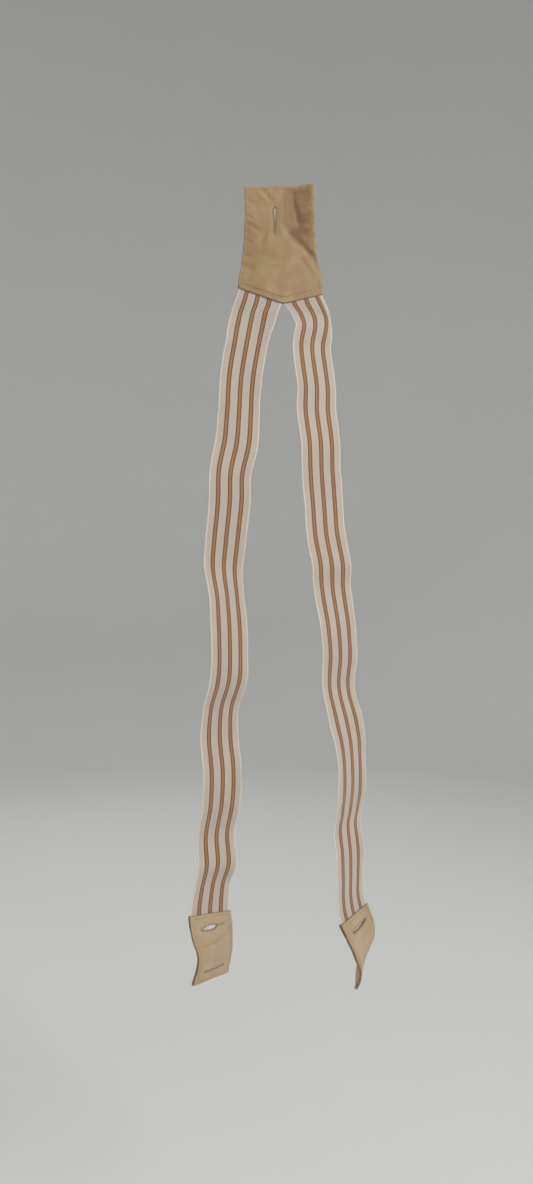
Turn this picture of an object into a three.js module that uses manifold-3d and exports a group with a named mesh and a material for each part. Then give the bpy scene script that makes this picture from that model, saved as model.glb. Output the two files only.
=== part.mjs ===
// Button-on dress suspenders hanging from the buttonhole in their yoke: a leather yoke, two striped
// webbing straps and a leather tab with two buttonholes at the end of each strap.
// Millimetres, +Z up, the front faces -Y, and the origin is the upper end of the yoke's buttonhole.
// The yoke lies flat in the XZ plane. Each strap and its tab follow one route, given below as
// points that the hanging strap passes through, with its turn about the vertical at each point.
import * as THREE from "three";
import { mergeVertices } from "three/addons/utils/BufferGeometryUtils.js";
import Module from "manifold-3d";

const wasm = await Module();
wasm.setup();

// ---- driving dimensions ----
const GAP = 0.3; // clearance between pieces that touch on the real object
const LEATHER = 0.9; // one ply of leather
const WEB_THICK = 1.0;
const WEB_WIDTH = 40;
const INTERLINING = 1.0;

const YOKE_CENTRE_X = 4; // the buttonhole sits this far left of the yoke's middle
const YOKE_TOP_HALF = 31.5;
const YOKE_BOTTOM_HALF = 38.5;
const YOKE_TOP_Z = 18.5;
const YOKE_SIDE = 95.5; // length of the side, top corner to bottom corner
const YOKE_POINT = 10.5; // how far the point hangs below the bottom corners
const YOKE_FLARE = 2.2; // 1 is a straight side; more keeps it narrow for longer
const YOKE_SLIT_LENGTH = 24;
const YOKE_SLIT_WIDTH = 5; // all slits are drawn open, as for a button going through
const WEB_SEWN_TOP = 20; // webbing that lies between the yoke's plies

const HINGE_DROP = 8.5; // the straps fold this far below the yoke's point
const FOLD_SET_BACK = 3; // the fixed side of a fold stops this far from its axis

const TAB_WIDTH = WEB_WIDTH + 2.5;
const TAB_LENGTH = 63;
const TAB_SET_BACK = 1.3; // the tab starts this far below the axis it folds about
const TAB_SLIT_LENGTH = 24;
const TAB_SLIT_WIDTH = 6.5;
const TAB_SLIT_INSET = 11.7; // from the tab's top or bottom edge to the slit's middle
const WEB_SEWN_BOTTOM = 6.5; // webbing that lies between the tab's plies

const THREAD_WALL = 0.6; // buttonhole thread inside the slit
const THREAD_LIP = 1.8; // its lip on each face, from the slit's edge
const THREAD_THICK = 0.4;
const SEAM_INSET = 2.5; // from a leather edge to its row of stitches
const SEAM_RADIUS = 0.25;
const LOWER_SEAM_RISE = 6; // from the yoke's lower edge to the seam that holds the webbing
const BARTACK_WIDTH = 1.6;
const BARTACK_OVERHANG = 1.2; // past the slit's width on each side

const LEATHER_COLOUR = 0xb59a72;
const TAB_COLOUR = 0xbfa684;
const WEB_COLOUR = 0xd8cec4;
const CANVAS_COLOUR = 0xcfc4ad;
const THREAD_COLOUR = 0xa88a5e;

// ---- places worked out from them ----
const YOKE_SIDE_Z = YOKE_TOP_Z - YOKE_SIDE;
const YOKE_POINT_Z = YOKE_SIDE_Z - YOKE_POINT;
const HINGE_Z = YOKE_POINT_Z - HINGE_DROP;
const WEB_HALF = WEB_THICK / 2;
const PLY_INNER = WEB_HALF + GAP;
const PLY_OUTER = PLY_INNER + LEATHER;
const SEAM_HEIGHT = PLY_OUTER + GAP + SEAM_RADIUS;
const LIP_INNER = PLY_OUTER + GAP;
const LIP_OUTER = LIP_INNER + THREAD_THICK;
const SLIT_CUT = THREAD_WALL + GAP; // the leather is cut back this far behind the thread

// ---- routes: [x, y, z, turn in degrees], where a turn of 90 would face the strap to +X ----
// The first point lies on the axis that the strap folds about, and the route moves with that axis.
const ROUTES = {
  left: {
    bendAt: 7, // the point where the strap bends over the shoulder
    mouthAt: 19, // the point where it enters the tab
    points: [
      [-20.2, 0, -96, 0],
      [-25, -1, -120, 14],
      [-31, 1, -155, 18],
      [-33, 3, -186, 17],
      [-35, 0, -215, 12],
      [-40.5, -4, -243, 20],
      [-41.5, -2, -271, 21],
      [-45, 2, -304, 22],
      [-47.2, 4, -331, 31],
      [-43.5, -3, -360, 39],
      [-41.3, -6, -395, 35],
      [-42, -4, -431, 34],
      [-49.5, 4, -459, 36],
      [-51, 5, -487, 33],
      [-48, -1, -516, 30],
      [-49, -1, -546, 32],
      [-54, 5, -576, 32],
      [-52.5, 0, -601, 31],
      [-57.5, 3, -622, 36],
      [-59.7, 0.5, -645, 33],
      [-57.4, -3, -660, 34],
      [-55.2, -3, -670, 43],
      [-54.5, -2, -681, 48],
      [-56.3, 0.5, -693, 47],
      [-59.3, 3, -706, 45],
      [-60.5, 4, -711, 44],
    ],
  },
  right: {
    bendAt: 8,
    mouthAt: 22,
    points: [
      [33.8, 0, -96, 0],
      [36.4, -2, -109, 28],
      [33.8, 0, -130, 27],
      [38, 1, -163, 23],
      [38.2, 1, -187, 22],
      [41.5, -3, -216, 22],
      [42.5, 0, -243, 24],
      [44.8, 2, -272, 22],
      [46.8, 0, -300, 23],
      [51.5, -3, -327, 22],
      [52.8, 2, -350, 27.5],
      [57.5, -2, -383, 30.5],
      [59.6, 0, -411, 34],
      [58.5, 4, -440, 37],
      [65, -2, -470, 36],
      [69, -4, -494, 42],
      [70.5, -3, -527, 47],
      [66.5, 5, -553, 52],
      [64, 7, -568, 53],
      [68.6, -1, -590, 46],
      [66.8, 3, -613, 52],
      [69, 1, -630, 49],
      [71.5, 0, -645.5, 46],
      [77, 0, -660.5, 52],
      [81, 1, -673.5, 61],
      [82, 3, -686, 73],
      [80.3, 5, -698, 82],
      [76.5, 7, -708, 85],
      [74.5, 8, -713, 86],
    ],
  },
};
const DIVISIONS = 20; // arc-length samples between two route points
const SQUARE_UP = 25; // the webbing's cross lines are level at the yoke and square to it from here

// ---- frames along a route ----
function makeRoute({ points, bendAt, mouthAt }) {
  const drop = HINGE_Z - points[0][2];
  const curve = new THREE.CatmullRomCurve3(
    points.map(([x, y, z]) => new THREE.Vector3(x, y, z + drop)),
    false,
    "catmullrom",
    0.5,
  );
  curve.arcLengthDivisions = DIVISIONS * (points.length - 1);
  const lengths = curve.getLengths();
  const turns = points.map((p) => THREE.MathUtils.degToRad(p[3]));
  const route = {
    bend: lengths[DIVISIONS * bendAt],
    mouth: lengths[DIVISIONS * mouthAt],
  };

  // The point s along the route, with the directions across it and out of its front.
  route.frame = (s) => {
    const t = curve.getUtoTmapping(0, THREE.MathUtils.clamp(s, 0, curve.getLength()));
    const place = t * (turns.length - 1);
    const i = Math.min(Math.floor(place), turns.length - 2);
    const turn = THREE.MathUtils.lerp(turns[i], turns[i + 1], place - i);
    const down = curve.getTangent(t);
    const level = new THREE.Vector3(Math.cos(turn), Math.sin(turn), 0);
    const square = THREE.MathUtils.clamp(s / SQUARE_UP, 0, 1);
    const across = level
      .clone()
      .addScaledVector(down, -square * level.dot(down))
      .normalize();
    const front = new THREE.Vector3().crossVectors(down, across).normalize();
    const origin = curve.getPoint(t);
    const past = s - THREE.MathUtils.clamp(s, 0, curve.getLength());
    origin.addScaledVector(down, past);
    return { origin, across, front };
  };

  // Flat coordinates to space: u across, s along, n out of the front.
  route.place = (u, s, n) => {
    const { origin, across, front } = route.frame(s);
    return origin.addScaledVector(across, u).addScaledVector(front, n);
  };
  return route;
}

const planePlace = (x, z, n) => new THREE.Vector3(x, -n, z);

// ---- solids ----
function bent(geometry, place) {
  const p = geometry.attributes.position;
  for (let i = 0; i < p.count; i++) {
    const v = place(p.getX(i), p.getY(i), p.getZ(i));
    p.setXYZ(i, v.x, v.y, v.z);
  }
  return welded(geometry);
}

function welded(geometry) {
  geometry.deleteAttribute("normal");
  geometry.deleteAttribute("uv");
  const merged = mergeVertices(geometry, 1e-4);
  merged.computeVertexNormals();
  return merged;
}

// A slab with one row of vertices at each station. edges(s) gives { left, right, back, front }.
function slab(stations, columns, edges, place) {
  const rows = stations.length - 1;
  const box = new THREE.BoxGeometry(1, 1, 1, columns, rows, 1);
  return bent(box, (x, y, z) => {
    const s = stations[Math.round((y + 0.5) * rows)];
    const e = edges(s);
    return place(
      THREE.MathUtils.lerp(e.left, e.right, x + 0.5),
      s,
      z > 0 ? e.front : e.back,
    );
  });
}

// A plain block in flat coordinates: u across, s along, n out of the front.
function block([u0, u1], [s0, s1], [n0, n1], place) {
  const box = new THREE.BoxGeometry(u1 - u0, s1 - s0, n1 - n0, 1, 2, 1);
  box.translate((u0 + u1) / 2, (s0 + s1) / 2, (n0 + n1) / 2);
  return facingOut(bent(box, place));
}

// A closed profile carried round a closed outline. Profile points are [out, n].
function loop(outline, profile, place) {
  const count = outline.length;
  const sides = profile.length;
  const positions = [];
  outline.forEach((point, i) => {
    const before = outline[(i + count - 1) % count];
    const after = outline[(i + 1) % count];
    const along = new THREE.Vector2().subVectors(after, before).normalize();
    for (const [out, n] of profile) {
      const v = place(point.x + along.y * out, point.y - along.x * out, n);
      positions.push(v.x, v.y, v.z);
    }
  });
  const index = [];
  for (let i = 0; i < count; i++) {
    for (let j = 0; j < sides; j++) {
      const a = i * sides + j;
      const b = i * sides + ((j + 1) % sides);
      const c = ((i + 1) % count) * sides + j;
      const d = ((i + 1) % count) * sides + ((j + 1) % sides);
      index.push(a, c, b, b, c, d);
    }
  }
  const geometry = new THREE.BufferGeometry();
  geometry.setAttribute("position", new THREE.Float32BufferAttribute(positions, 3));
  geometry.setIndex(index);
  return facingOut(geometry);
}

function toManifold(geometry) {
  return new wasm.Manifold(
    new wasm.Mesh({
      numProp: 3,
      vertProperties: geometry.attributes.position.array,
      triVerts: new Uint32Array(geometry.index.array),
    }),
  );
}

function facingOut(geometry) {
  if (toManifold(geometry).volume() < 0) {
    const index = Array.from(geometry.index.array).reverse();
    geometry.setIndex(index);
  }
  geometry.computeVertexNormals();
  return geometry;
}

function cut(geometry, cutters) {
  let solid = toManifold(facingOut(geometry));
  for (const cutter of cutters) {
    solid = solid.subtract(toManifold(facingOut(cutter)));
  }
  const mesh = solid.getMesh();
  const result = new THREE.BufferGeometry();
  result.setAttribute("position", new THREE.BufferAttribute(mesh.vertProperties, 3));
  result.setIndex(new THREE.BufferAttribute(mesh.triVerts, 1));
  result.computeVertexNormals();
  return result;
}

// ---- outlines ----
// A slot with round ends, counter-clockwise. It is longest along X.
function slot(x, y, length, width, grow = 0) {
  const radius = width / 2 + grow;
  const reach = length / 2 - width / 2;
  const shape = new THREE.Shape();
  shape.moveTo(x - reach, y - radius);
  shape.lineTo(x + reach, y - radius);
  shape.absarc(x + reach, y, radius, -Math.PI / 2, Math.PI / 2);
  shape.lineTo(x - reach, y + radius);
  shape.absarc(x - reach, y, radius, Math.PI / 2, (3 * Math.PI) / 2);
  return shape;
}

const SLOT_POINTS = 16;
const slotOutline = (...size) => slot(...size).getSpacedPoints(SLOT_POINTS).slice(0, -1);

// A short bar of thread across one end of a slot that runs along X: end is 1 or -1.
function bartack(end, length, width, s, place) {
  const near = length / 2 + THREAD_LIP + GAP;
  const across = [near, near + BARTACK_WIDTH].map((u) => end * u).sort((a, b) => a - b);
  const half = width / 2 + BARTACK_OVERHANG;
  return block(across, [s - half, s + half], [LIP_INNER, LIP_OUTER], place);
}

function slotCutter(x, y, length, width, place, upright = false) {
  const reach = LIP_OUTER + 2 * GAP;
  const shape = slot(0, 0, length, width, SLIT_CUT);
  const prism = new THREE.ExtrudeGeometry(shape, {
    depth: 2 * reach,
    bevelEnabled: false,
    curveSegments: 6,
  });
  prism.translate(0, 0, -reach);
  if (upright) prism.rotateZ(Math.PI / 2);
  prism.translate(x, y, 0);
  return bent(prism, place);
}

// The yoke's half width at height z: narrow for the upper part, then flaring to the corners.
function yokeHalf(z) {
  const share = THREE.MathUtils.clamp((YOKE_TOP_Z - z) / YOKE_SIDE, 0, 1);
  return THREE.MathUtils.lerp(YOKE_TOP_HALF, YOKE_BOTTOM_HALF, share ** YOKE_FLARE);
}

const YOKE_SIDE_STEPS = 8;

// The yoke's outline drawn in by inset, from its top edge down to bottom (the point if left out).
function yokeOutline(inset, bottom = null) {
  const top = YOKE_TOP_Z - inset;
  const corner = bottom ?? YOKE_SIDE_Z + inset;
  const side = Array.from({ length: YOKE_SIDE_STEPS + 1 }, (_, i) => {
    const z = THREE.MathUtils.lerp(top, corner, i / YOKE_SIDE_STEPS);
    return new THREE.Vector2(yokeHalf(z) - inset, z);
  });
  const left = side.map((p) => new THREE.Vector2(YOKE_CENTRE_X - p.x, p.y));
  const right = side.map((p) => new THREE.Vector2(YOKE_CENTRE_X + p.x, p.y)).reverse();
  const tip = bottom === null ? [new THREE.Vector2(YOKE_CENTRE_X, YOKE_POINT_Z + inset)] : [];
  return [...left, ...tip, ...right];
}

function spaced(outline, step) {
  const closed = new THREE.Shape(outline);
  closed.closePath();
  const count = Math.round(closed.getLength() / step);
  return closed.getSpacedPoints(count).slice(0, -1);
}

const roundProfile = (radius, height) =>
  Array.from({ length: 6 }, (_, i) => {
    const a = (i / 6) * 2 * Math.PI;
    return [radius * Math.cos(a), height + radius * Math.sin(a)];
  });

const LIP_PROFILE = [
  [0, -LIP_OUTER],
  [THREAD_LIP, -LIP_OUTER],
  [THREAD_LIP, -LIP_INNER],
  [THREAD_WALL, -LIP_INNER],
  [THREAD_WALL, LIP_INNER],
  [THREAD_LIP, LIP_INNER],
  [THREAD_LIP, LIP_OUTER],
  [0, LIP_OUTER],
];

// ---- materials ----
const material = (color, roughness) =>
  new THREE.MeshStandardMaterial({ color, roughness, metalness: 0 });
const yokeLeather = material(LEATHER_COLOUR, 0.75);
const tabLeather = material(TAB_COLOUR, 0.8);
const webbing = material(WEB_COLOUR, 0.9);
const canvas = material(CANVAS_COLOUR, 0.95);
const thread = material(THREAD_COLOUR, 0.7);

const suspenders = new THREE.Group();

function add(name, geometry, look) {
  const mesh = new THREE.Mesh(geometry, look);
  mesh.name = name;
  suspenders.add(mesh);
}

// ---- yoke ----
const YOKE_SLIT_Z = -YOKE_SLIT_LENGTH / 2;
const SEWN_TOP_Z = YOKE_SIDE_Z - YOKE_POINT / 2 + WEB_SEWN_TOP;

function yokeSheet(outline, back, front) {
  const flat = new THREE.ExtrudeGeometry(new THREE.Shape(outline), {
    depth: front - back,
    bevelEnabled: false,
  });
  flat.translate(0, 0, back);
  const slit = slotCutter(0, YOKE_SLIT_Z, YOKE_SLIT_LENGTH, YOKE_SLIT_WIDTH, planePlace, true);
  return cut(bent(flat, planePlace), [slit]);
}

function addYoke() {
  const outline = yokeOutline(0);
  add("yoke_front_leather", yokeSheet(outline, PLY_INNER, PLY_OUTER), yokeLeather);
  add("yoke_back_leather", yokeSheet(outline, -PLY_OUTER, -PLY_INNER), yokeLeather);
  const liningOutline = yokeOutline(SEAM_INSET / 2, SEWN_TOP_Z + GAP);
  const lining = yokeSheet(liningOutline, -INTERLINING / 2, INTERLINING / 2);
  add("yoke_interlining", lining, canvas);

  const seam = spaced(yokeOutline(SEAM_INSET), 9);
  const needle = roundProfile(SEAM_RADIUS, SEAM_HEIGHT);
  const bobbin = roundProfile(SEAM_RADIUS, -SEAM_HEIGHT);
  add("yoke_edge_needle_thread", loop(seam, needle, planePlace), thread);
  add("yoke_edge_bobbin_thread", loop(seam, bobbin, planePlace), thread);

  const slit = slotOutline(0, 0, YOKE_SLIT_LENGTH, YOKE_SLIT_WIDTH);
  const upright = (x, y, n) => planePlace(y, YOKE_SLIT_Z + x, n);
  add("yoke_buttonhole_thread", loop(slit, LIP_PROFILE, upright), thread);
  const tack = bartack(-1, YOKE_SLIT_LENGTH, YOKE_SLIT_WIDTH, 0, upright);
  add("yoke_buttonhole_bartack", tack, thread);
}

// The chevron of stitches through both plies and the webbing, beside the yoke's lower edge.
function addLowerSeam(name, height) {
  const reach = YOKE_BOTTOM_HALF - 3 * SEAM_INSET;
  const tipZ = YOKE_POINT_Z + LOWER_SEAM_RISE;
  const endZ = tipZ + (YOKE_POINT * reach) / YOKE_BOTTOM_HALF;
  const line = [
    [-reach, endZ],
    [0, tipZ],
    [reach, endZ],
  ];
  const thick = 2 * SEAM_RADIUS;
  const raised = line.map(([x, z]) => [x, z + thick]).reverse();
  const points = [...line, ...raised].map(([x, z]) => new THREE.Vector2(YOKE_CENTRE_X + x, z));
  const strip = new THREE.ExtrudeGeometry(new THREE.Shape(points), {
    depth: thick,
    bevelEnabled: false,
  });
  strip.translate(0, 0, height - SEAM_RADIUS);
  add(name, facingOut(bent(strip, planePlace)), thread);
}

// The webbing's top, between the yoke's plies, drawn in with the yoke's narrowing side.
// It comes out below the point and ends level, just above the axis that the strap folds about.
function addSewnTop(side, route) {
  const sign = side === "left" ? -1 : 1;
  const { origin } = route.frame(0);
  const half = WEB_WIDTH / 2;
  const foot = HINGE_Z + FOLD_SET_BACK;
  const inner = YOKE_CENTRE_X + sign * 2 * GAP;
  const outer = (z) => YOKE_CENTRE_X + sign * (yokeHalf(z) - SEAM_INSET / 2);
  const points = [
    [inner + sign * GAP, SEWN_TOP_Z],
    [inner + sign * GAP, YOKE_POINT_Z],
    [origin.x - sign * half, foot],
    [origin.x + sign * half, foot],
    [outer(YOKE_SIDE_Z), YOKE_SIDE_Z],
    [outer(SEWN_TOP_Z), SEWN_TOP_Z],
  ].map(([x, z]) => new THREE.Vector2(x, z));
  const flat = new THREE.ExtrudeGeometry(new THREE.Shape(points), {
    depth: WEB_THICK,
    bevelEnabled: false,
  });
  flat.translate(0, 0, -WEB_HALF);
  add(`${side}_webbing_sewn_top`, facingOut(bent(flat, planePlace)), webbing);
}

// ---- straps ----
const STEP = 9; // between two rows of vertices along a strap
const WEB_COLUMNS = 4;
const ROUND_END = [1, 0.85, 0.5]; // shares of the half thickness, from the tip of a rounded end

function stationsBetween(from, to, step) {
  const count = Math.max(1, Math.round((to - from) / step));
  return Array.from({ length: count + 1 }, (_, i) => from + ((to - from) * i) / count);
}

// Half the webbing's thickness at s, when it has round ends at from and to (or square ones).
function roundedHalf(s, roundTop, roundBottom) {
  const over = Math.max(roundTop - s, s - roundBottom, 0);
  return Math.max(0.1, Math.sqrt(Math.max(0, WEB_HALF ** 2 - over ** 2)));
}

function webSlab(route, stations, roundTop, roundBottom) {
  const edges = (s) => {
    const half = roundedHalf(s, roundTop, roundBottom);
    return { left: -WEB_WIDTH / 2, right: WEB_WIDTH / 2, back: -half, front: half };
  };
  return facingOut(slab(stations, WEB_COLUMNS, edges, route.place));
}

function addStrap(side, route) {
  const tip = ROUND_END.map((share) => share * WEB_HALF);
  const upper = [
    ...tip.map((d) => -d),
    ...stationsBetween(0, route.bend - FOLD_SET_BACK, STEP),
  ];
  add(`${side}_webbing_upper`, webSlab(route, upper, 0, Infinity), webbing);
  const lower = [
    ...tip.map((d) => route.bend - d),
    ...stationsBetween(route.bend, route.mouth, STEP),
    ...tip.toReversed().map((d) => route.mouth + d),
  ];
  add(`${side}_webbing_lower`, webSlab(route, lower, route.bend, route.mouth), webbing);
}

// ---- tabs ----
const TAB_COLUMNS = 6;
const TAB_STEP = 3;

function addTab(side, route) {
  const top = route.mouth + TAB_SET_BACK;
  const bottom = top + TAB_LENGTH;
  const slits = {
    upper: top + TAB_SLIT_INSET,
    lower: bottom - TAB_SLIT_INSET,
  };
  const cutters = () =>
    Object.values(slits).map((s) =>
      slotCutter(0, s, TAB_SLIT_LENGTH, TAB_SLIT_WIDTH, route.place),
    );
  const ply = (from, to, halfWidth, back, front) => {
    const edges = () => ({ left: -halfWidth, right: halfWidth, back, front });
    return slab(stationsBetween(from, to, TAB_STEP), TAB_COLUMNS, edges, route.place);
  };
  const half = TAB_WIDTH / 2;
  const front = cut(ply(top, bottom, half, PLY_INNER, PLY_OUTER), cutters());
  const back = cut(ply(top, bottom, half, -PLY_OUTER, -PLY_INNER), cutters());
  add(`${side}_tab_front_leather`, front, tabLeather);
  add(`${side}_tab_back_leather`, back, tabLeather);

  const webEnd = top + WEB_SEWN_BOTTOM;
  const sewn = ply(top, webEnd, WEB_WIDTH / 2, -WEB_HALF, WEB_HALF);
  add(`${side}_webbing_sewn_bottom`, facingOut(sewn), webbing);
  const liningHalf = half - SEAM_INSET / 2;
  const liningEnd = bottom - SEAM_INSET / 2;
  const lining = ply(webEnd + GAP, liningEnd, liningHalf, -INTERLINING / 2, INTERLINING / 2);
  add(`${side}_tab_interlining`, cut(lining, cutters()), canvas);

  const seamX = half - SEAM_INSET;
  const corners = [
    [-seamX, top + SEAM_INSET],
    [seamX, top + SEAM_INSET],
    [seamX, bottom - SEAM_INSET],
    [-seamX, bottom - SEAM_INSET],
  ].map(([u, s]) => new THREE.Vector2(u, s));
  const seam = spaced(corners, TAB_STEP);
  const needle = roundProfile(SEAM_RADIUS, SEAM_HEIGHT);
  const bobbin = roundProfile(SEAM_RADIUS, -SEAM_HEIGHT);
  add(`${side}_tab_edge_needle_thread`, loop(seam, needle, route.place), thread);
  add(`${side}_tab_edge_bobbin_thread`, loop(seam, bobbin, route.place), thread);
  for (const [which, s] of Object.entries(slits)) {
    const outline = slotOutline(0, s, TAB_SLIT_LENGTH, TAB_SLIT_WIDTH);
    const ring = loop(outline, LIP_PROFILE, route.place);
    add(`${side}_tab_${which}_buttonhole_thread`, ring, thread);
    const tack = bartack(1, TAB_SLIT_LENGTH, TAB_SLIT_WIDTH, s, route.place);
    add(`${side}_tab_${which}_buttonhole_bartack`, tack, thread);
  }
}

// ---- assembly ----
addYoke();
addLowerSeam("yoke_lower_seam_needle_thread", SEAM_HEIGHT);
addLowerSeam("yoke_lower_seam_bobbin_thread", -SEAM_HEIGHT);
for (const [side, given] of Object.entries(ROUTES)) {
  const route = makeRoute(given);
  addSewnTop(side, route);
  addStrap(side, route);
  addTab(side, route);
}

export default suspenders;
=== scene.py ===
"""Button-on dress suspenders hanging from the buttonhole in their yoke."""

import math

import bmesh
import bpy
import numpy as np
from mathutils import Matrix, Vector


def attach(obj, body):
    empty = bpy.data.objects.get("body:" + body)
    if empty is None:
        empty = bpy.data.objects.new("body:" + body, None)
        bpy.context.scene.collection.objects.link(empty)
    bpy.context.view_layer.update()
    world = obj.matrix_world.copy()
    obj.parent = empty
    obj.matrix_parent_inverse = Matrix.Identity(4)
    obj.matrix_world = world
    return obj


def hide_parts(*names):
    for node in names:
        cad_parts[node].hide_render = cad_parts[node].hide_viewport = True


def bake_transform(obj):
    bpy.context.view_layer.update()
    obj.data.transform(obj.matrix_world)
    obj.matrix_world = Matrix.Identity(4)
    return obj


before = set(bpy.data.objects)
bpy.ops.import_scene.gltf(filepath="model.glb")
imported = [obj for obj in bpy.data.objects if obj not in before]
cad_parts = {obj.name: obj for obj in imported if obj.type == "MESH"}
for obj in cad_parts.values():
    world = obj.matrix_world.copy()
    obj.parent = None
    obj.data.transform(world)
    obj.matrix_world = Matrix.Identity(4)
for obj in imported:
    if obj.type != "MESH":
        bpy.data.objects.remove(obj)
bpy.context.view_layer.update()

MM = 0.001

# ---------------------------------------------------------------- sizes, in metres
WEB_WIDTH = 40 * MM
WEB_FLARE = 3 * MM  # how much wider the left strap's inner band is drawn at the yoke
WEB_FLARE_LENGTH = 24 * MM
WEB_CURL = (4 * MM, 2.8 * MM)  # how far the right strap's outer edge curls in and back there
WEB_CURL_ENDS = (5 * MM, 24 * MM)
CURL_FADE = 12 * MM  # above the fold, where the yoke presses the curl flat
WEB_HALF = 0.5 * MM
SQUARE_UP = 25 * MM  # cross lines are level at the yoke and square to the strap from here

STRIPE_PITCH = 11.25 * MM
STRIPE_HALF = 2.1 * MM
CORD_PITCH = 0.9 * MM  # lengthwise cords in the weave

TAB_WIDTH = 42.5 * MM
TAB_LENGTH = 63 * MM
TAB_SET_BACK = 1.3 * MM
TAB_PLY = 1.3 * MM
TAB_SLIT_INSET = 11.7 * MM
CANVAS_INSET = 4.5 * MM  # from the canvas inside a tab to its edges and slits
TAB_SLIT_LENGTH = 24 * MM

YOKE_SLIT_LENGTH = 24 * MM
YOKE_EDGE_HALF = 1.15 * MM  # half the yoke's thickness at its turned edge
YOKE_LOFT = 0.45 * MM  # how much thicker it is inside the seam, on each face
SEAM_INSET = 2.8 * MM
LOWER_SEAM_RISE = 6 * MM

STITCH_RADIUS = 0.24 * MM
YOKE_STITCH = (3.0 * MM, 2.5 * MM, 0.12 * MM, 0.3 * MM)  # pitch, length, rise and sink
TAB_STITCH = (2.5 * MM, 2.0 * MM, 0.12 * MM, 0.3 * MM)
WHIP_PITCH = 0.75 * MM
WHIP_REACH = 1.3 * MM
WHIP_RADIUS = 0.2 * MM
WHIP_SIDES = 5
TACK_THREADS = 5
TACK_PITCH = 0.014  # as a share of the slit's length
YOKE_TACK_REACH = 1.6 * MM
TAB_TACK_REACH = 1.3 * MM

# ---------------------------------------------------------------- routes of the two straps
# x, y, z in millimetres and the turn about the vertical in degrees, from the fold at the yoke down.
LEFT_ROUTE = [
    (-20.2, 0, -96, 0), (-25, -1, -120, 14), (-31, 1, -155, 18), (-33, 3, -186, 17),
    (-35, 0, -215, 12), (-40.5, -4, -243, 20), (-41.5, -2, -271, 21), (-45, 2, -304, 22),
    (-47.2, 4, -331, 31), (-43.5, -3, -360, 39), (-41.3, -6, -395, 35), (-42, -4, -431, 34),
    (-49.5, 4, -459, 36), (-51, 5, -487, 33), (-48, -1, -516, 30), (-49, -1, -546, 32),
    (-54, 5, -576, 32), (-52.5, 0, -601, 31), (-57.5, 3, -622, 36), (-59.7, 0.5, -645, 33),
    (-57.4, -3, -660, 34), (-55.2, -3, -670, 43), (-54.5, -2, -681, 48), (-56.3, 0.5, -693, 47),
    (-59.3, 3, -706, 45), (-60.5, 4, -711, 44),
]
RIGHT_ROUTE = [
    (33.8, 0, -96, 0), (35.3, -0.3, -99.5, 6), (36.5, -1.1, -105.5, 16), (36.3, -2, -112.5, 25),
    (33.8, 0, -130, 27), (38, 1, -163, 23), (38.2, 1, -187, 22), (41.5, -3, -216, 22),
    (42.5, 0, -243, 24), (44.8, 2, -272, 22), (46.8, 0, -300, 23), (51.5, -3, -327, 22),
    (52.8, 2, -350, 27.5), (57.5, -2, -383, 30.5), (59.6, 0, -411, 34), (58.5, 4, -440, 37),
    (65, -2, -470, 36), (69, -4, -494, 42), (70.5, -3, -527, 47), (69, 5, -553, 47),
    (67, 6, -568, 47), (68.6, -1, -590, 46), (69.2, 2, -613, 47), (69, 1, -630, 49),
    (71.5, 0, -645.5, 46), (77.8, 0, -660.5, 49), (81.8, 1, -673.5, 57), (82.2, 3, -686, 71),
    (79.3, 5, -698, 82), (74.9, 7, -708, 85), (72.6, 8, -713, 86),
]


def smoothstep(low, high, value):
    """0 below low, 1 above high and smooth between them."""
    t = np.clip((np.asarray(value, float) - low) / (high - low), 0, 1)
    return t * t * (3 - 2 * t)


def unit(v):
    return v / np.linalg.norm(v, axis=-1, keepdims=True)


def through(points, steps):
    """A smooth curve through points, with steps samples between each two."""
    points = np.asarray(points, float)
    padded = np.vstack([2 * points[0] - points[1], points, 2 * points[-1] - points[-2]])
    t = (np.arange(steps) / steps)[:, None]
    parts = []
    for a, b, c, d in zip(padded, padded[1:], padded[2:], padded[3:]):
        out, into = (c - a) / 2, (d - b) / 2
        bent = (2 * b - 2 * c + out + into) * t**3 + (3 * c - 3 * b - 2 * out - into) * t**2
        parts.append(b + out * t + bent)
    return np.vstack(parts + [points[-1:]])


class Route:
    """Frames along a strap: u runs across it, s along it and n out of its front.
    It keeps the length to the point bend_at and enters its tab at the point mouth_at."""

    STEPS = 40

    def __init__(self, points, bend_at, mouth_at):
        curve = through(points, self.STEPS)
        self.points = curve[:, :3] * MM
        self.turns = np.radians(curve[:, 3])
        self.tangents = unit(np.gradient(self.points, axis=0))
        steps = np.linalg.norm(np.diff(self.points, axis=0), axis=1)
        self.lengths = np.concatenate([[0], np.cumsum(steps)])
        self.bend = self.lengths[self.STEPS * bend_at]
        self.mouth = self.lengths[self.STEPS * mouth_at]

    def at(self, table, s):
        s = np.clip(s, 0, self.lengths[-1])
        if table.ndim == 1:
            return np.interp(s, self.lengths, table)
        return np.stack([np.interp(s, self.lengths, column) for column in table.T], -1)

    def frames(self, s):
        s = np.asarray(s, float)
        down = unit(self.at(self.tangents, s))
        past = s - np.clip(s, 0, self.lengths[-1])
        origin = self.at(self.points, s) + down * past[..., None]
        turn = self.at(self.turns, s)
        level = np.stack([np.cos(turn), np.sin(turn), np.zeros_like(turn)], -1)
        square = np.clip(s / SQUARE_UP, 0, 1)[..., None]
        lean = np.sum(level * down, -1, keepdims=True)
        across = unit(level - square * lean * down)
        front = unit(np.cross(down, across))
        return origin, across, front, down

    def place(self, u, s, n):
        origin, across, front, _ = self.frames(s)
        return origin + across * np.asarray(u)[..., None] + front * np.asarray(n)[..., None]


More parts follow.
